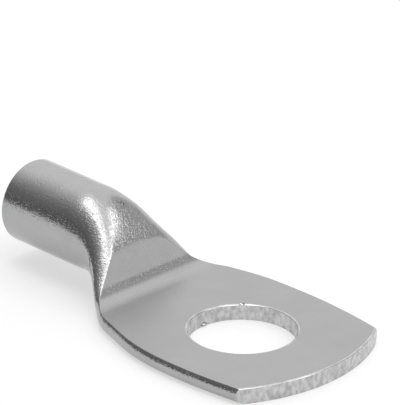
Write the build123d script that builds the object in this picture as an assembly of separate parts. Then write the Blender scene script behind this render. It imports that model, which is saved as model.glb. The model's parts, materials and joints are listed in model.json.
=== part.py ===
"""Tubular cable lug for a 25 mm2 conductor and an M12 stud, made from one length of copper tube.

One end of the tube stays round and takes the conductor. The other end is pressed flat into the palm,
which is sheared to an arc at its tip and pierced for the stud. Between the two the pressed tube comes
down a steep slope while its sides spread.

The origin is the centre of the stud hole on the palm's underside. +X points to the tip, the open end of
the barrel is towards -X, and +Z is up. Sizes are in millimetres, angles in degrees.
"""
import math
import os

from build123d import *

# Stud hole and palm
stud_hole_diameter = 13.0
palm_thickness = 2.0
palm_width = 25.5
palm_widest_reach = 0.6
palm_front_radius = 68.0
palm_back_radius = 46.0
tip_reach = 14.1
tip_radius = 21.6

# Barrel
barrel_outer_diameter = 10.4
barrel_bore_diameter = 7.0
barrel_axis_height = 6.7
open_end_reach = 36.2
mouth_chamfer = 0.7
mouth_rounding = 0.35

# Neck between the barrel and the palm
slope_angle = 63.0
slope_foot_reach = 16.3
shoulder_radius = 6.0
shoulder_turn = 40.0
brow_radius = 12.6
foot_radius = 3.0
arch_start_reach = 26.1
arch_end_reach = 17.6
flare_start_reach = 24.3
flare_end_reach = 12.9
heel_start_reach = 23.6
heel_end_reach = 15.4
press_step = 0.02
slit_height = 0.3

# Spacing of the sections that the neck and the space inside it are shaped through
neck_section_spacing = 1.1
cavity_section_spacing = 2.2

barrel_radius = barrel_outer_diameter / 2
barrel_wall = (barrel_outer_diameter - barrel_bore_diameter) / 2
barrel_top = barrel_axis_height + barrel_radius
barrel_bottom = barrel_axis_height - barrel_radius

# From the barrel's top the tube first turns down round the tight arc of the shoulder, then along the wide
# arc of the brow, which runs into the straight slope. The foot's arc joins the slope to the palm's top.
slope = math.radians(slope_angle)
turned = math.radians(shoulder_turn)
shoulder_drop = shoulder_radius * (1 - math.cos(turned))
brow_drop = brow_radius * (math.cos(turned) - math.cos(slope))
brow_end_height = barrel_top - shoulder_drop - brow_drop
brow_end_reach = slope_foot_reach + (brow_end_height - palm_thickness) / math.tan(slope)
brow_start_reach = brow_end_reach + brow_radius * (math.sin(slope) - math.sin(turned))
shoulder_start_reach = brow_start_reach + shoulder_radius * math.sin(turned)
foot_end_reach = slope_foot_reach - foot_radius * math.tan(slope / 2)
foot_start_reach = foot_end_reach + foot_radius * math.sin(slope)
neck_start_reach = max(shoulder_start_reach, arch_start_reach, flare_start_reach, heel_start_reach)
palm_start_reach = min(foot_end_reach, arch_end_reach, flare_end_reach, heel_end_reach)


def ease(reach, start, end):
    """Go smoothly from 0 at the reach start to 1 at the reach end."""
    share = min(max((start - reach) / (start - end), 0.0), 1.0)
    return (1 - math.cos(math.pi * share)) / 2


def top_height(reach):
    """Height of the upper surface on the middle line, at this distance behind the stud hole."""
    if reach >= shoulder_start_reach:
        return barrel_top
    if reach >= brow_start_reach:
        along = shoulder_start_reach - reach
        return barrel_top - shoulder_radius + math.sqrt(shoulder_radius**2 - along**2)
    if reach >= brow_end_reach:
        along = brow_end_reach + brow_radius * math.sin(slope) - reach
        brow_centre_height = brow_end_height - brow_radius * math.cos(slope)
        return brow_centre_height + math.sqrt(brow_radius**2 - along**2)
    if reach >= foot_start_reach:
        return palm_thickness + (reach - slope_foot_reach) * math.tan(slope)
    if reach >= foot_end_reach:
        along = reach - foot_end_reach
        return palm_thickness + foot_radius - math.sqrt(foot_radius**2 - along**2)
    return palm_thickness


def bottom_height(reach):
    """Height of the underside, which drops from the barrel to the palm at the heel."""
    return barrel_bottom * (1 - ease(reach, heel_start_reach, heel_end_reach))


def palm_half_width(reach):
    """Half the width of the palm, whose long sides are arcs of two radii."""
    along = reach - palm_widest_reach
    radius = palm_back_radius if along > 0 else palm_front_radius
    return palm_width / 2 - radius + math.sqrt(radius**2 - along**2)


def half_width(reach):
    """Half the width of the tube as it spreads from the barrel into the palm."""
    spread = ease(reach, flare_start_reach, flare_end_reach)
    if spread == 0:
        return barrel_radius
    return barrel_radius + (palm_half_width(reach) - barrel_radius) * spread


def arch_angle(reach):
    """Half the angle of the arch over and under the tube: a right angle's half while it is round,
    and nothing once it is pressed flat."""
    return math.radians(45) * (1 - ease(reach, arch_start_reach, arch_end_reach))


def arc(start, corner, end, turn):
    """An arc through this turn, from start to end, where it touches the two lines to the corner."""
    return Bezier(start, corner, end, weights=[1, math.cos(turn / 2), 1])


def tube_section(reach, inset=0.0):
    """The tube cut across at one reach: an oval of arcs that meet smoothly, wide ones over and under and
    tight ones at the sides. It is a circle at the barrel and has two flats with round sides at the palm.
    The inset gives the tube's inner wall."""
    top = top_height(reach) - inset
    bottom = bottom_height(reach) + inset
    side_y = half_width(reach) - inset
    angle = arch_angle(reach)
    lean = math.tan(angle / 2)
    side_radius = ((top - bottom) / 2 - side_y * lean) / (1 - lean)
    join_y = side_y - side_radius * (1 - math.sin(angle))
    join_z = side_radius * math.cos(angle)
    crown_z = join_z + join_y * math.tan(angle)
    side_z = join_z - (side_y - join_y) * math.tan(angle)
    over_turn = 2 * angle
    side_turn = math.pi / 2 - angle
    edges = [
        arc((-join_y, join_z), (0, crown_z), (join_y, join_z), over_turn),
        arc((join_y, join_z), (side_y, side_z), (side_y, 0), side_turn),
        arc((side_y, 0), (side_y, -side_z), (join_y, -join_z), side_turn),
        arc((join_y, -join_z), (0, -crown_z), (-join_y, -join_z), over_turn),
        arc((-join_y, -join_z), (-side_y, -side_z), (-side_y, 0), side_turn),
        arc((-side_y, 0), (-side_y, side_z), (-join_y, join_z), side_turn),
    ]
    middle = (-reach, 0, (top + bottom) / 2)
    return Plane(origin=middle, x_dir=(0, 1, 0), z_dir=(1, 0, 0)) * make_face(edges)


def spaced(start, end, spacing):
    """Reaches from start down to end, evenly spaced and no further apart than the spacing."""
    steps = max(2, math.ceil((start - end) / spacing))
    return [start + (end - start) * step / steps for step in range(steps + 1)]


def lying_cylinder(radius, start_reach, end_reach):
    """A cylinder on the barrel's axis between two reaches."""
    length = start_reach - end_reach
    centre = (-(start_reach + end_reach) / 2, 0, barrel_axis_height)
    return Pos(*centre) * Rot(0, 90, 0) * Cylinder(radius, length)


def barrel():
    """The end of the tube that stays round, its outer edge rounded at the mouth."""
    tube = lying_cylinder(barrel_radius, open_end_reach, neck_start_reach)
    mouth_edge = tube.edges().filter_by(GeomType.CIRCLE).sort_by(Axis.X)[0]
    return fillet(mouth_edge, mouth_rounding)


def neck():
    """The stretch in which the tube comes down and spreads, shaped through sections of the tube. It ends
    a hair inside the palm, where the press has left a step."""
    reaches = spaced(neck_start_reach, palm_start_reach, neck_section_spacing)
    sections = [tube_section(reach) for reach in reaches[:-1]]
    return loft(sections + [tube_section(palm_start_reach, press_step)])


def round_rimmed_disc(radius):
    """A disc as thick as the palm, its rim rounded all over."""
    flat_radius = radius - palm_thickness / 2
    profile = make_face([
        Line((0, 0), (0, palm_thickness)),
        Line((0, palm_thickness), (flat_radius, palm_thickness)),
        ThreePointArc((flat_radius, palm_thickness), (radius, palm_thickness / 2), (flat_radius, 0)),
        Line((flat_radius, 0), (0, 0)),
    ])
    return revolve(Plane.XZ * profile, Axis.Z)


def palm_stretch(side_radius, start_reach, end_reach):
    """The part of the palm between two reaches: what two large discs share, one rim for each long side."""
    disc = round_rimmed_disc(side_radius)
    disc_offset = side_radius - palm_width / 2
    lens = Pos(-palm_widest_reach, disc_offset, 0) * disc & Pos(-palm_widest_reach, -disc_offset, 0) * disc
    length = start_reach - end_reach
    stretch = Pos(-(start_reach + end_reach) / 2, 0, palm_thickness / 2) * Box(
        length, 2 * palm_width, 2 * palm_thickness)
    return lens & stretch


def palm():
    """The flat end of the tube, sheared to an arc at the tip."""
    back = palm_stretch(palm_back_radius, palm_start_reach, palm_widest_reach)
    front = palm_stretch(palm_front_radius, palm_widest_reach, -tip_reach)
    tip = Pos(tip_reach - tip_radius, 0, palm_thickness / 2) * Cylinder(tip_radius, 2 * palm_thickness)
    return back + (front & tip)


def slit_reach():
    """The reach at which the pressed walls have closed to a slit."""
    step = neck_section_spacing / 10
    reach = neck_start_reach
    while top_height(reach) - bottom_height(reach) > 2 * barrel_wall + slit_height:
        reach -= step
    return reach


def conductor_cavity():
    """The bore with its chamfered mouth, and the space behind it that narrows to the pressed slit."""
    bore_radius = barrel_bore_diameter / 2
    bore = lying_cylinder(bore_radius, open_end_reach, neck_start_reach)
    mouth = Pos(-open_end_reach + mouth_chamfer / 2, 0, barrel_axis_height) * Rot(0, 90, 0) * Cone(
        bore_radius + mouth_chamfer, bore_radius, mouth_chamfer)
    reaches = spaced(neck_start_reach, slit_reach(), cavity_section_spacing)
    return bore + mouth + loft([tube_section(reach, barrel_wall) for reach in reaches])


def stud_hole():
    """The round hole for the stud, straight through the palm."""
    return Pos(0, 0, palm_thickness / 2) * Cylinder(stud_hole_diameter / 2, 2 * palm_thickness)


def lug_body():
    """The finished lug as one solid."""
    pressed_tube = barrel() + neck() + palm()
    return pressed_tube - conductor_cavity() - stud_hole()


os.makedirs("parts", exist_ok=True)
lug = lug_body()
print("volume", round(lug.volume, 2), "valid", lug.is_valid, "solids", len(lug.solids()))
export_step(lug, "parts/lug_body.step")
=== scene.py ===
"""Looks of a tubular cable lug: one length of tin-plated copper tube, round at one end and pressed flat at
the other. Lengths are in metres, angles in radians.

The lug lies on its palm. +X points from the barrel to the tip of the palm and +Z is up. A reach is a
distance behind the centre of the stud hole, towards the open end of the barrel.
"""
import json
import math

import bmesh
import bpy
from mathutils import Matrix, Vector


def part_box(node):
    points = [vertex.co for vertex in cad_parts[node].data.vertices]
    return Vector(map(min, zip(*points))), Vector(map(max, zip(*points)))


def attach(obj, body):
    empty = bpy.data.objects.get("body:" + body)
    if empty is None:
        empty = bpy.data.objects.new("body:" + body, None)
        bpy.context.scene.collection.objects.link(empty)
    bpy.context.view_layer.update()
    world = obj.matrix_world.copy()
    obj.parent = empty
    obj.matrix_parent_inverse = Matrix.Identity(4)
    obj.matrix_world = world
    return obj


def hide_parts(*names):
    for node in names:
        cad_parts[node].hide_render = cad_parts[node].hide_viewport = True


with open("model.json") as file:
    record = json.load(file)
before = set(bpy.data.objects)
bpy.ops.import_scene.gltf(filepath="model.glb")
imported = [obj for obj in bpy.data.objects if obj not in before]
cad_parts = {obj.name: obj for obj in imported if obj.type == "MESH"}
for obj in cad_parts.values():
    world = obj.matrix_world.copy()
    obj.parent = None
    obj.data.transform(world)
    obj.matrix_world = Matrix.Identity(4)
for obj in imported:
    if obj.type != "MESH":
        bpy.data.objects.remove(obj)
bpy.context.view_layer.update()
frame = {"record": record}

# Pressed tube.
# The lug starts as a straight piece of copper tube. A die presses one end flat into the palm, and between
# the palm and the round barrel the wall comes down a steep slope while its sides spread.

mm = 0.001
quarter_turn = math.pi / 2
low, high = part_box("lug_body")
mounts = {mount["name"]: mount for mount in frame["record"]["mounts"]}
stud_hole_radius = mounts["stud_hole"]["dims"]["r_mm"] * mm
bore_radius = mounts["cable_bore"]["dims"]["r_mm"] * mm
axis_height = mounts["cable_bore"]["pos_m"][2]
palm_thickness = mounts["palm_top"]["pos_m"][2]
open_end_reach = -low.x
tip_reach = high.x
palm_half = high.y

# Palm, whose long sides are arcs of two radii
palm_widest_reach = 0.6 * mm
palm_front_radius = 68 * mm
palm_back_radius = 46 * mm

# Barrel
barrel_radius = 5.2 * mm
barrel_wall = barrel_radius - bore_radius
barrel_top = axis_height + barrel_radius
barrel_bottom = axis_height - barrel_radius
mouth_chamfer = 0.7 * mm
mouth_rounding = 0.35 * mm

# Slope, with the shoulder and the brow above it and the foot below it
slope_angle = math.radians(63)
slope_foot_reach = 16.3 * mm
shoulder_radius = 6 * mm
shoulder_turn = math.radians(42)
brow_turn = math.radians(57)
brow_end_height = 6.55 * mm
foot_start_height = 3.5 * mm
foot_radius = 2.2 * mm
foot_turn = math.radians(30)
pressed_depth = 0.1 * mm
crease_width = 0.05 * mm

# Half the angle of the arcs over and under the tube, while it is round and once it is flat
round_arch = math.radians(45)
least_arch = 1e-6

# Reaches between which the arcs flatten, the sides spread and the underside drops
arch_start_reach = 26.1 * mm
arch_end_reach = 17.6 * mm
flare_start_reach = 24.3 * mm
flare_end_reach = 12.9 * mm
heel_start_reach = 23.6 * mm
heel_end_reach = 15.4 * mm

# How the die has crowded the wall: each change starts, is full, fades and ends at these reaches
neck_drift = 0.55 * mm
drift_reaches = (26 * mm, 20 * mm, 14 * mm, 2 * mm)
neck_squeeze = 0.14
squeeze_reaches = (22.5 * mm, 19.5 * mm, 18.4 * mm, 16.2 * mm)
wing_waist = 0.3 * mm
waist_reaches = (18.5 * mm, 15.5 * mm, 13 * mm, 6 * mm)

# The palm's side: a wide bulge that takes most of the swing, and a tight corner at the top
corner_start_reach = 19 * mm
corner_full_reach = 15 * mm
side_bulge = 1.36
bulge_turn = math.radians(45)
bulge_swing = 0.8 * quarter_turn
corner_rounding = 0.13

# Where the arcs down the middle line start and end, each touching the next
shoulder_end_height = barrel_top - shoulder_radius * (1 - math.cos(shoulder_turn))
brow_radius = (shoulder_end_height - brow_end_height) / (math.cos(shoulder_turn) - math.cos(brow_turn))
brow_end_reach = slope_foot_reach + (brow_end_height - palm_thickness) / math.tan(slope_angle)
brow_start_reach = brow_end_reach + brow_radius * (math.sin(brow_turn) - math.sin(shoulder_turn))
shoulder_start_reach = brow_start_reach + shoulder_radius * math.sin(shoulder_turn)
foot_start_reach = slope_foot_reach + (foot_start_height - palm_thickness) / math.tan(slope_angle)
toe_start_height = foot_start_height - foot_radius * (math.cos(foot_turn) - math.cos(slope_angle))
toe_radius = (toe_start_height - palm_thickness) / (1 - math.cos(foot_turn))
toe_start_reach = foot_start_reach - foot_radius * (math.sin(slope_angle) - math.sin(foot_turn))
toe_end_reach = toe_start_reach - toe_radius * math.sin(foot_turn)


def ease(reach, start, end):
    """Go smoothly from 0 at the reach start to 1 at the reach end."""
    share = min(max((start - reach) / (start - end), 0.0), 1.0)
    return (1 - math.cos(math.pi * share)) / 2


def swell(reach, start, full, fade, end):
    """Rise from 0 to 1 between the reaches start and full, and sink again between fade and end."""
    return ease(reach, start, full) * (1 - ease(reach, fade, end))


def lesser(first, second, blend):
    """The smaller of two heights, with a soft change from one to the other."""
    near = max(blend - abs(first - second), 0) / blend
    return min(first, second) - near**2 * blend / 4


def die_height(reach):
    """Height of the upper die, whose face makes the slope, the foot and the palm's top."""
    if reach >= foot_start_reach:
        return palm_thickness + (reach - slope_foot_reach) * math.tan(slope_angle)
    if reach >= toe_start_reach:
        along = reach - toe_start_reach + foot_radius * math.sin(foot_turn)
        return toe_start_height + foot_radius * math.cos(foot_turn) - math.sqrt(foot_radius**2 - along**2)
    if reach >= toe_end_reach:
        along = reach - toe_end_reach
        return palm_thickness + toe_radius - math.sqrt(toe_radius**2 - along**2)
    return palm_thickness


def crown_height(reach):
    """Height to which the round wall would rise on the middle line, were the die not there."""
    if reach >= shoulder_start_reach:
        return barrel_top
    if reach >= brow_start_reach:
        along = shoulder_start_reach - reach
        return barrel_top - shoulder_radius + math.sqrt(shoulder_radius**2 - along**2)
    if reach >= brow_end_reach:
        along = brow_end_reach + brow_radius * math.sin(brow_turn) - reach
        brow_centre_height = brow_end_height - brow_radius * math.cos(brow_turn)
        return brow_centre_height + math.sqrt(brow_radius**2 - along**2)
    parting = (brow_end_reach - reach) * (math.tan(slope_angle) - math.tan(brow_turn))
    return die_height(reach) + pressed_depth * (1 - math.exp(-parting / pressed_depth))


def bottom_height(reach):
    """Height of the underside, which drops from the barrel to the palm at the heel."""
    return barrel_bottom * (1 - ease(reach, heel_start_reach, heel_end_reach))


def half_width(reach):
    """Half the width of the tube as it spreads from the barrel into the palm, a little less at the waist
    of the wings."""
    spread = ease(reach, flare_start_reach, flare_end_reach)
    if spread == 0:
        return barrel_radius
    along = reach - palm_widest_reach
    side_radius = palm_back_radius if along > 0 else palm_front_radius
    palm_side = palm_half - side_radius + math.sqrt(side_radius**2 - along**2)
    waist = wing_waist * swell(reach, *waist_reaches)
    return barrel_radius + (palm_side - barrel_radius) * spread - waist


def side_point(swing):
    """The palm's side as the die leaves it, for a half thickness of 1: the bulge, then the corner. Gives
    the distance in from the widest place and the height."""
    if swing <= bulge_swing:
        lift = bulge_turn * swing / bulge_swing
        return side_bulge * (1 - math.cos(lift)), side_bulge * math.sin(lift)
    corner_share = (swing - bulge_swing) / (quarter_turn - bulge_swing)
    lift = bulge_turn + (quarter_turn - bulge_turn) * corner_share
    inwards = side_bulge * (1 - math.cos(bulge_turn))
    inwards += corner_rounding * (math.cos(bulge_turn) - math.cos(lift))
    upwards = side_bulge * math.sin(bulge_turn)
    upwards += corner_rounding * (math.sin(lift) - math.sin(bulge_turn))
    return inwards, upwards


def wall_point(reach, inset, turn):
    """Where the point at this turn of the round tube comes to lie in the pressed one. The section is an
    oval of four arcs: wide ones over and under, which flatten out, and tight ones at the sides."""
    middle = (crown_height(reach) + bottom_height(reach)) / 2
    half_height = (crown_height(reach) - bottom_height(reach)) / 2 - inset
    side_y = half_width(reach) - inset
    arch = round_arch * (1 - ease(reach, arch_start_reach, arch_end_reach))
    lean = math.tan(arch / 2)
    side_radius = (half_height - side_y * lean) / (1 - lean)
    join_y = side_y - side_radius * (1 - math.sin(arch))
    join_z = side_radius * math.cos(arch)
    from_side = math.acos(min(abs(math.cos(turn)), 1.0))
    upper = turn > 0
    cornered = ease(reach, corner_start_reach, corner_full_reach) if upper and inset == 0 else 0.0
    if from_side <= round_arch:
        swing = from_side / round_arch * (quarter_turn - arch)
        inwards, upwards = side_point(swing)
        y = side_y - side_radius * ((1 - cornered) * (1 - math.cos(swing)) + cornered * inwards)
        z = side_radius * ((1 - cornered) * math.sin(swing) + cornered * upwards)
    else:
        share = (quarter_turn - from_side) / round_arch
        bend = max(arch, least_arch)
        crown_radius = join_y / math.sin(bend)
        y = crown_radius * math.sin(bend * share)
        z = join_z + crown_radius * (math.cos(bend * share) - math.cos(bend))
        y += cornered * share * side_radius * (1 - side_point(quarter_turn)[0])
    if upper:
        y *= 1 - neck_squeeze * swell(reach, *squeeze_reaches) * (z / half_height)**2
    y = math.copysign(y, math.cos(turn)) + neck_drift * swell(reach, *drift_reaches)
    z = lesser(middle + math.copysign(z, math.sin(turn)), die_height(reach) - inset, crease_width)
    return Vector((-reach, y, z))


def spaced(start, end, spacing):
    """Reaches from start to end, evenly spaced and no further apart than the spacing."""
    steps = max(1, math.ceil(abs(start - end) / spacing))
    return [start + (end - start) * step / steps for step in range(steps + 1)]


def placed(name, shape):
    """Put a finished shape into the scene as an object."""
    mesh = bpy.data.meshes.new(name)
    shape.to_mesh(mesh)
    shape.free()
    piece = bpy.data.objects.new(name, mesh)
    bpy.context.scene.collection.objects.link(piece)
    return piece


ring_points = 256
slit_reach = 17.2 * mm
cavity_spacing = 0.6 * mm
neck_spacing = 0.2 * mm
palm_spacing = 1.4 * mm
past_tip = 1 * mm
rounding_steps = 6

# The tube is drawn out ring by ring: from the slit that closes the cavity to the mouth, round the mouth's
# edge and back along the outside to past the tip. A station is a ring's reach and its depth in the wall.
stations = [(reach, barrel_wall) for reach in spaced(slit_reach, arch_start_reach, cavity_spacing)]
stations.append((open_end_reach - mouth_chamfer, barrel_wall))
stations.append((open_end_reach, barrel_wall - mouth_chamfer))
for step in range(rounding_steps + 1):
    swing = quarter_turn * step / rounding_steps
    stations.append((
        open_end_reach - mouth_rounding * (1 - math.cos(swing)),
        mouth_rounding * (1 - math.sin(swing)),
    ))
stations += [(reach, 0) for reach in spaced(arch_start_reach, flare_end_reach, neck_spacing)]
stations += [(reach, 0) for reach in spaced(flare_end_reach, -tip_reach - past_tip, palm_spacing)[1:]]

tube = bmesh.new()
ring = bmesh.ops.create_circle(tube, segments=ring_points, radius=bore_radius)["verts"]
turns = {vert: math.atan2(vert.co.y, vert.co.x) for vert in ring}
for vert in ring:
    vert.co = wall_point(*stations[0], turns[vert])
edges = tube.edges[:]
bmesh.ops.edgeloop_fill(tube, edges=edges)
for station in stations[1:]:
    grown = bmesh.ops.extrude_edge_only(tube, edges=edges)["geom"]
    next_turns = {}
    for vert in grown:
        if not isinstance(vert, bmesh.types.BMVert):
            continue
        before = next(
            edge.other_vert(vert) for edge in vert.link_edges if edge.other_vert(vert) in turns)
        next_turns[vert] = turns[before]
        vert.co = wall_point(*station, turns[before])
    turns = next_turns
    edges = [item for item in grown if isinstance(item, bmesh.types.BMEdge)
             and item.verts[0] in turns and item.verts[1] in turns]
bmesh.ops.edgeloop_fill(tube, edges=edges)
bmesh.ops.recalc_face_normals(tube, faces=tube.faces)
lug = placed("lug", tube)

# Punched and sheared edges.
# The stud hole and the curved tip are cut after pressing. The punch and the shear draw the copper down a
# little where they enter, so the upper rims are rounded.

roll_turn = math.radians(50)
roll_steps = 5
rim_roll = 0.30 * mm
tip_roll = 0.26 * mm
tip_radius = 21.6 * mm
shear_turn = math.radians(100)
shear_steps = 96
shear_depth = 12 * mm
tool_clearance = 1 * mm
below = -tool_clearance
above = palm_thickness + tool_clearance
merge_distance = 1e-8


def cutter(name, profile, centre, start=0.0, turn=2 * math.pi, steps=128):
    """A tool with this outline, spun about an upright line through the centre."""
    shape = bmesh.new()
    corners = [shape.verts.new((radius, 0, z)) for radius, z in profile]
    outline = [shape.edges.new((a, b)) for a, b in zip(corners, corners[1:])]
    whole = turn >= 2 * math.pi
    if not whole:
        outline.append(shape.edges.new((corners[-1], corners[0])))
    bmesh.ops.rotate(shape, verts=corners, cent=(0, 0, 0), matrix=Matrix.Rotation(start, 3, "Z"))
    made = bmesh.ops.spin(
        shape, geom=corners + outline, axis=(0, 0, 1), cent=(0, 0, 0), angle=turn, steps=steps,
        use_merge=whole, use_normal_flip=False)
    if not whole:
        last = [item for item in made["geom_last"] if isinstance(item, bmesh.types.BMEdge)]
        bmesh.ops.edgeloop_fill(shape, edges=outline)
        bmesh.ops.edgeloop_fill(shape, edges=last)
    bmesh.ops.remove_doubles(shape, verts=shape.verts, dist=merge_distance)
    bmesh.ops.recalc_face_normals(shape, faces=shape.faces)
    bmesh.ops.translate(shape, verts=shape.verts, vec=centre)
    return placed(name, shape)


def rolled_rim(radius, roll):
    """Points of a punch's outline as it widens through the rim that it has rolled down: an arc that
    leaves the palm's top level and meets the wall at an angle."""
    points = []
    for step in range(roll_steps, -1, -1):
        swing = roll_turn * step / roll_steps
        points.append((
            radius + roll * (math.sin(roll_turn) - math.sin(swing)),
            palm_thickness - roll * (1 - math.cos(swing)),
        ))
    return points


def cut(piece, tool, operation="DIFFERENCE"):
    """Take the tool's shape out of the piece, or add it."""
    modifier = piece.modifiers.new("cut", "BOOLEAN")
    modifier.operation = operation
    modifier.solver = "EXACT"
    modifier.object = tool
    bpy.context.view_layer.update()
    finished = bpy.data.meshes.new_from_object(piece.evaluated_get(bpy.context.evaluated_depsgraph_get()))
    piece.modifiers.clear()
    piece.data = finished
    bpy.data.objects.remove(tool)


stud_punch = cutter("stud_punch", [
    (0, below),
    (stud_hole_radius, below),
    *rolled_rim(stud_hole_radius, rim_roll),
    (stud_hole_radius + rim_roll, above),
    (0, above),
], (0, 0, 0))
cut(lug, stud_punch)

# The shear takes what lies outside the tip, so its rim rolls inwards.
tip_shear = cutter("tip_shear", [
    (tip_radius, below),
    *[(2 * tip_radius - radius, z) for radius, z in rolled_rim(tip_radius, tip_roll)],
    (tip_radius - tip_roll, above),
    (tip_radius + shear_depth, above),
    (tip_radius + shear_depth, below),
], (tip_reach - tip_radius, 0, 0), start=-shear_turn / 2, turn=shear_turn, steps=shear_steps)
cut(lug, tip_shear)

# Small marks.
# Two pits in the neck from scale pressed into the copper, a nick in the hole's upper rim, a burr that the
# punch left at its lower one, and a short fold where the near wing starts.

pit_radius = 0.26 * mm
pit_rise = 0.02 * mm
pit_outwards = Vector((0.62, 0.13, 0.77)).normalized()
pits = [(Vector((-21.98, 1.58, 10.36)) * mm, 1.0), (Vector((-22.06, 1.16, 10.48)) * mm, 0.7)]
nick_centre = Vector((-4.72, 4.66, 2.2)) * mm
nick_radius = 0.42 * mm
burr_centre = Vector((-6.42, 0.1, 0.24)) * mm
burr_radius = 0.24 * mm
burr_stretch = (0.9, 1.9, 0.8)
fold_radius = 0.14 * mm
fold_points = [Vector(point) * mm for point in (
    (-20.62, -5.30, 5.95), (-20.24, -5.53, 5.49), (-20.02, -5.76, 4.86), (-19.55, -6.06, 4.33))]


def ball_tool(name, centre, radius, stretch=(1, 1, 1)):
    """A ball, longer along some axes, centred here."""
    shape = bmesh.new()
    bmesh.ops.create_icosphere(shape, subdivisions=3, radius=radius)
    bmesh.ops.scale(shape, verts=shape.verts, vec=stretch)
    bmesh.ops.translate(shape, verts=shape.verts, vec=centre)
    return placed(name, shape)


def rod_tool(name, start, end, radius):
    """A thin round rod between two points."""
    shape = bmesh.new()
    bmesh.ops.create_cone(
        shape, cap_ends=True, segments=10, radius1=radius, radius2=radius, depth=(end - start).length)
    lie = (end - start).to_track_quat("Z", "Y").to_matrix()
    bmesh.ops.rotate(shape, verts=shape.verts, cent=(0, 0, 0), matrix=lie)
    bmesh.ops.translate(shape, verts=shape.verts, vec=(start + end) / 2)
    return placed(name, shape)


for pit_centre, size in pits:
    cut(lug, ball_tool("pit", pit_centre + pit_outwards * pit_rise * size, pit_radius * size))
cut(lug, ball_tool("nick", nick_centre, nick_radius))
cut(lug, ball_tool("burr", burr_centre, burr_radius, burr_stretch), "UNION")
for start, end in zip(fold_points, fold_points[1:]):
    cut(lug, rod_tool("fold", start, end, fold_radius))

# The cuts leave doubled points. Once those are merged, all is smooth but the creases and cut edges.
clean_distance = 1e-7
sharp_angle = math.radians(32)
surface = bmesh.new()
surface.from_mesh(lug.data)
bmesh.ops.remove_doubles(surface, verts=surface.verts, dist=clean_distance)
bmesh.ops.dissolve_degenerate(surface, edges=surface.edges, dist=clean_distance)
for face in surface.faces:
    face.smooth = True
for edge in surface.edges:
    edge.smooth = edge.calc_face_angle(0) < sharp_angle
surface.to_mesh(lug.data)
surface.free()
weighted = lug.modifiers.new("even normals", "WEIGHTED_NORMAL")
weighted.mode = "FACE_AREA"
weighted.keep_sharp = True

# Tin plating.
# The copper is plated all over with a thin coat of matt tin: neutral grey, satin, with a fine grain that
# shows where it mirrors the edge of something dark. The grain is smoother where the upper die pressed.

tin_greys = (0.375, 0.445)
tin_roughness = (0.10, 0.14)
tin_cloud_scale = 260
grain_scale = 4800
grain_depth = 0.022 * mm
speck_range = (0.54, 0.72)
speck_height = 0.45
die_grain = 0.33
near_die = 0.25 * mm
at_die = 0.02 * mm
near_top = 0.05 * mm
at_top = 0.01 * mm
palm_dullness = 0.30
dull_start = -16.5 * mm
dull_full = -14.5 * mm


def metal(name):
    """A bare metal, with its node tree, its shader and the place on the piece."""
    material = bpy.data.materials.new(name)
    material.use_nodes = True
    tree = material.node_tree
    shader = tree.nodes["Principled BSDF"]
    shader.inputs["Metallic"].default_value = 1.0
    place = tree.nodes.new("ShaderNodeTexCoord").outputs["Object"]
    return material, tree, shader, place


def pattern(tree, place, scale, detail=3):
    """A cloudy pattern over these places, finer for a greater scale."""
    node = tree.nodes.new("ShaderNodeTexNoise")
    node.inputs["Scale"].default_value = scale
    node.inputs["Detail"].default_value = detail
    tree.links.new(place, node.inputs["Vector"])
    return node.outputs["Fac"]


def ranged(tree, value, start, end, low=0.0, high=1.0, way="LINEAR"):
    """Go from low to high as the value goes from start to end."""
    node = tree.nodes.new("ShaderNodeMapRange")
    node.interpolation_type = way
    for socket, limit in (("From Min", start), ("From Max", end), ("To Min", low), ("To Max", high)):
        node.inputs[socket].default_value = limit
    tree.links.new(value, node.inputs["Value"])
    return node.outputs["Result"]


def combined(tree, operation, first, second):
    """Work out one value from two, either of which may be a plain number."""
    node = tree.nodes.new("ShaderNodeMath")
    node.operation = operation
    for socket, value in zip(node.inputs, (first, second)):
        if isinstance(value, (int, float)):
            socket.default_value = value
        else:
            tree.links.new(value, socket)
    return node.outputs["Value"]


def measured_along(tree, vector, aim):
    """How far a place or a direction reaches along this aim."""
    node = tree.nodes.new("ShaderNodeVectorMath")
    node.operation = "DOT_PRODUCT"
    node.inputs[1].default_value = Vector(aim).normalized()
    tree.links.new(vector, node.inputs[0])
    return node.outputs["Value"]


tin, tree, shader, place = metal("tin_plating")
cloud = pattern(tree, place, tin_cloud_scale, detail=4)
tree.links.new(ranged(tree, cloud, 0, 1, *tin_greys), shader.inputs["Base Color"])

# The palm's top is duller than the rest.
upwards = measured_along(tree, place, (0, 0, 1))
forwards = measured_along(tree, place, (1, 0, 0))
on_top = ranged(tree, upwards, palm_thickness - near_top, palm_thickness - at_top)
on_palm = ranged(tree, forwards, dull_start, dull_full, 0.0, palm_dullness)
dullness = combined(tree, "MULTIPLY", on_palm, on_top)
roughness = combined(tree, "ADD", ranged(tree, cloud, 0, 1, *tin_roughness), dullness)
tree.links.new(roughness, shader.inputs["Roughness"])

# The grain is full on the round tube and beside and under the palm, which the upper die doesn't touch.
slope_outwards = Vector((math.sin(slope_angle), 0, math.cos(slope_angle)))
die_face = palm_thickness * slope_outwards.z - slope_foot_reach * slope_outwards.x
outwards = measured_along(tree, place, slope_outwards)
off_die = ranged(tree, outwards, die_face - near_die, die_face - at_die, 1.0, die_grain)
off_top = combined(tree, "SUBTRACT", 1.0, on_top)
grain = pattern(tree, place, grain_scale)
specks = ranged(tree, grain, *speck_range, 0.0, speck_height, "SMOOTHSTEP")
bump = tree.nodes.new("ShaderNodeBump")
bump.inputs["Distance"].default_value = grain_depth
tree.links.new(combined(tree, "ADD", grain, specks), bump.inputs["Height"])
tree.links.new(combined(tree, "MAXIMUM", off_die, off_top), bump.inputs["Strength"])
tree.links.new(bump.outputs["Normal"], shader.inputs["Normal"])

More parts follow.
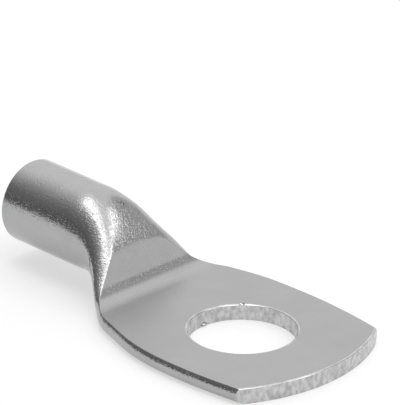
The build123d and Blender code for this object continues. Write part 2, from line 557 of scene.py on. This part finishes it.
# Sheared edges, and burnished rims with a painted highlight.
# The walls that the punch and the shear have torn are brighter and patchy under their tin. The rims that
# the same tools have rolled down are rubbed and patchy, and so is the nick; their still lighter colour is
# a painted highlight.

patch_range = (0.35, 0.65)
sheared_greys = (0.41, 0.63)
sheared_roughness = 0.3
sheared_stretch = (1, 1, 0.6)
sheared_patch_scale = 1900
sheared_grain_scale = 2600
sheared_grain_strength = 0.8
sheared_grain_depth = 0.03 * mm
# The rims' greys are lighter than the tin's: a painted highlight over rubbed, patchy metal.
burnish_and_highlight_greys = (0.44, 0.70)
burnished_roughness = 0.22
burnished_patch_scale = 500

sheared, tree, shader, place = metal("sheared_edge")
drawn = tree.nodes.new("ShaderNodeMapping")
drawn.inputs["Scale"].default_value = sheared_stretch
tree.links.new(place, drawn.inputs["Vector"])
patches = pattern(tree, drawn.outputs["Vector"], sheared_patch_scale)
tree.links.new(ranged(tree, patches, *patch_range, *sheared_greys), shader.inputs["Base Color"])
shader.inputs["Roughness"].default_value = sheared_roughness
bump = tree.nodes.new("ShaderNodeBump")
bump.inputs["Strength"].default_value = sheared_grain_strength
bump.inputs["Distance"].default_value = sheared_grain_depth
tree.links.new(pattern(tree, drawn.outputs["Vector"], sheared_grain_scale), bump.inputs["Height"])
tree.links.new(bump.outputs["Normal"], shader.inputs["Normal"])

# Rims and nick: rubbed, patchy metal whose lighter colour is a painted highlight.
burnish_and_highlight, tree, shader, place = metal("burnished_rim_painted_highlight")
patches = pattern(tree, place, burnished_patch_scale)
tree.links.new(ranged(tree, patches, *patch_range, *burnish_and_highlight_greys), shader.inputs["Base Color"])
shader.inputs["Roughness"].default_value = burnished_roughness

lug.data.materials.clear()
for finish in (tin, sheared, burnish_and_highlight):
    lug.data.materials.append(finish)

# A face is sheared where it stands upright on a wall, and burnished with a painted highlight where it
# leans on a rim or in the nick. The upward part of its normal tells: up to upright it stands, and from
# level on it lies flat.
wall_tolerance = 0.01 * mm
nick_limit = 1.01 * nick_radius
upright = 0.1
level = 0.999
for face in lug.data.polygons:
    from_hole = abs(math.hypot(face.center.x, face.center.y) - stud_hole_radius)
    from_tip = abs(math.hypot(face.center.x - tip_reach + tip_radius, face.center.y) - tip_radius)
    ahead = face.center.x > 0
    on_wall = from_hole < wall_tolerance or (ahead and from_tip < wall_tolerance)
    on_rim = from_hole < rim_roll or (ahead and from_tip < tip_roll)
    in_nick = (face.center - nick_centre).length < nick_limit
    if on_wall and abs(face.normal.z) < upright and not in_nick:
        face.material_index = 1
    # Rolled rims and the nick get the rubbed finish with its painted highlight.
    elif (on_rim or in_nick) and upright < face.normal.z < level:
        face.material_index = 2
    else:
        face.material_index = 0

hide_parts("lug_body")
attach(lug, "root")

# Floor, light and camera.
# A white table under a pale tent, which is bright at the back and dark round the camera, with two soft
# lamps above and behind the lug.

floor_half = 1.5
paper_grey = 0.45
paper_roughness = 0.9
paper_glow = 0.56

floor_shape = bmesh.new()
bmesh.ops.create_grid(floor_shape, x_segments=1, y_segments=1, size=floor_half)
floor = placed("floor", floor_shape)
paper = bpy.data.materials.new("white_paper")
paper.use_nodes = True
tree = paper.node_tree
sheet = tree.nodes["Principled BSDF"]
sheet.inputs["Base Color"].default_value = (paper_grey, paper_grey, paper_grey, 1)
sheet.inputs["Roughness"].default_value = paper_roughness
sheet.inputs["Emission Color"].default_value = (1, 1, 1, 1)
ray = tree.nodes.new("ShaderNodeLightPath")
seen = combined(tree, "MAXIMUM", ray.outputs["Is Camera Ray"], ray.outputs["Is Glossy Ray"])
seen = combined(tree, "MAXIMUM", seen, ray.outputs["Is Transmission Ray"])
tree.links.new(combined(tree, "MULTIPLY", seen, paper_glow), sheet.inputs["Emission Strength"])
floor.data.materials.append(paper)

# The tent is a world whose light changes with direction.
world = bpy.data.worlds.new("tent")
bpy.context.scene.world = world
world.use_nodes = True
tent = world.node_tree
direction = tent.nodes.new("ShaderNodeTexCoord").outputs["Generated"]


def rise(value, start, end, low=0.0, high=1.0):
    """Go smoothly from low to high as a value of the tent goes from start to end."""
    return ranged(tent, value, start, end, low, high, "SMOOTHSTEP")


def product(*values):
    """The product of several values of the tent."""
    result = values[0]
    for value in values[1:]:
        result = combined(tent, "MULTIPLY", result, value)
    return result


# The wall of the tent: its grey for each nearness to the brightest direction, up and to the back.
wall_greys = [
    (-1.0, 0.35), (-0.35, 0.20), (-0.15, 0.25), (0.0, 0.275), (0.22, 0.44), (0.5, 0.81), (0.68, 1.16)]
height = measured_along(tent, direction, (0, 0, 1))
sideways = measured_along(tent, direction, (1, 0, 0))
up_and_back = measured_along(tent, direction, (0, 1, 1))
wall = tent.nodes.new("ShaderNodeValToRGB")
while len(wall.color_ramp.elements) < len(wall_greys):
    wall.color_ramp.elements.new(0.5)
for stop, (nearness, grey) in zip(wall.color_ramp.elements, wall_greys):
    stop.position = (nearness + 1) / 2
    stop.color = (grey, grey, grey, 1)
tent.links.new(ranged(tent, up_and_back, -1, 1), wall.inputs["Fac"])

# A round opening in the back wall shows the darker room behind it.
opening = measured_along(tent, direction, (0.364, 0.870, 0.333))
gloom = product(rise(opening, 0.785, 0.885, 0.0, 0.46), rise(height, 0.28, 0.36))
tent_light = product(
    wall.outputs["Color"], rise(height, 0.20, 0.55, 0.90, 1.0), combined(tent, "SUBTRACT", 1.0, gloom))

# One lamp is a crescent, inside one wide circle and outside another. The other follows the opening's rim.
crescent_brightness = 2.1
rim_lamp_brightness = 3.0
outer_circle = measured_along(tent, direction, (-0.034, 0.577, 0.816))
inner_circle = measured_along(tent, direction, (0.143, 0.680, 0.719))
crescent = product(
    rise(outer_circle, 0.58, 0.66),
    rise(inner_circle, 0.72, 0.82, 1.0, 0.0),
    rise(sideways, -0.40, -0.15),
    rise(height, 0.25, 0.40),
    crescent_brightness,
)
rim_lamp = product(
    rise(opening, 0.775, 0.81),
    rise(opening, 0.845, 0.86, 1.0, 0.0),
    rise(sideways, 0.34, 0.42),
    rise(height, 0.36, 0.50),
    rim_lamp_brightness,
)
lamps = combined(tent, "ADD", crescent, rim_lamp)

# The camera itself sees plain white behind the table.
ray = tent.nodes.new("ShaderNodeLightPath")
shown = tent.nodes.new("ShaderNodeMix")
shown.data_type = "FLOAT"
shown.inputs["B"].default_value = 1.0
tent.links.new(ray.outputs["Is Camera Ray"], shown.inputs["Factor"])
tent.links.new(combined(tent, "ADD", tent_light, lamps), shown.inputs["A"])
background = tent.nodes["Background"]
background.inputs["Color"].default_value = (1, 1, 1, 1)
tent.links.new(shown.outputs["Result"], background.inputs["Strength"])

# The camera stands a little left of the stud hole and above it, so the lug lies low in the picture.
camera_azimuth = math.radians(44.97)
camera_elevation = math.radians(24.65)
camera_roll = math.radians(0.595)
camera_distance = 573.7 * mm
camera_shift_left = 4.974 * mm
camera_shift_up = 16.628 * mm

back = Vector((
    math.sin(camera_azimuth) * math.cos(camera_elevation),
    -math.cos(camera_azimuth) * math.cos(camera_elevation),
    math.sin(camera_elevation),
))
level_right = Vector((math.cos(camera_azimuth), math.sin(camera_azimuth), 0))
level_up = back.cross(level_right)
right = math.cos(camera_roll) * level_right + math.sin(camera_roll) * level_up
up = math.cos(camera_roll) * level_up - math.sin(camera_roll) * level_right
spot = back * camera_distance - right * camera_shift_left + up * camera_shift_up
lens = bpy.data.cameras.new("camera")
lens.sensor_width = 36
lens.lens = 433.7
lens.clip_start = 0.05
lens.clip_end = 20
camera = bpy.data.objects.new("camera", lens)
bpy.context.scene.collection.objects.link(camera)
camera.matrix_world = Matrix((
    (right.x, up.x, back.x, spot.x),
    (right.y, up.y, back.y, spot.y),
    (right.z, up.z, back.z, spot.z),
    (0, 0, 0, 1),
))
bpy.context.scene.camera = camera
bpy.context.scene.view_settings.view_transform = "Standard"
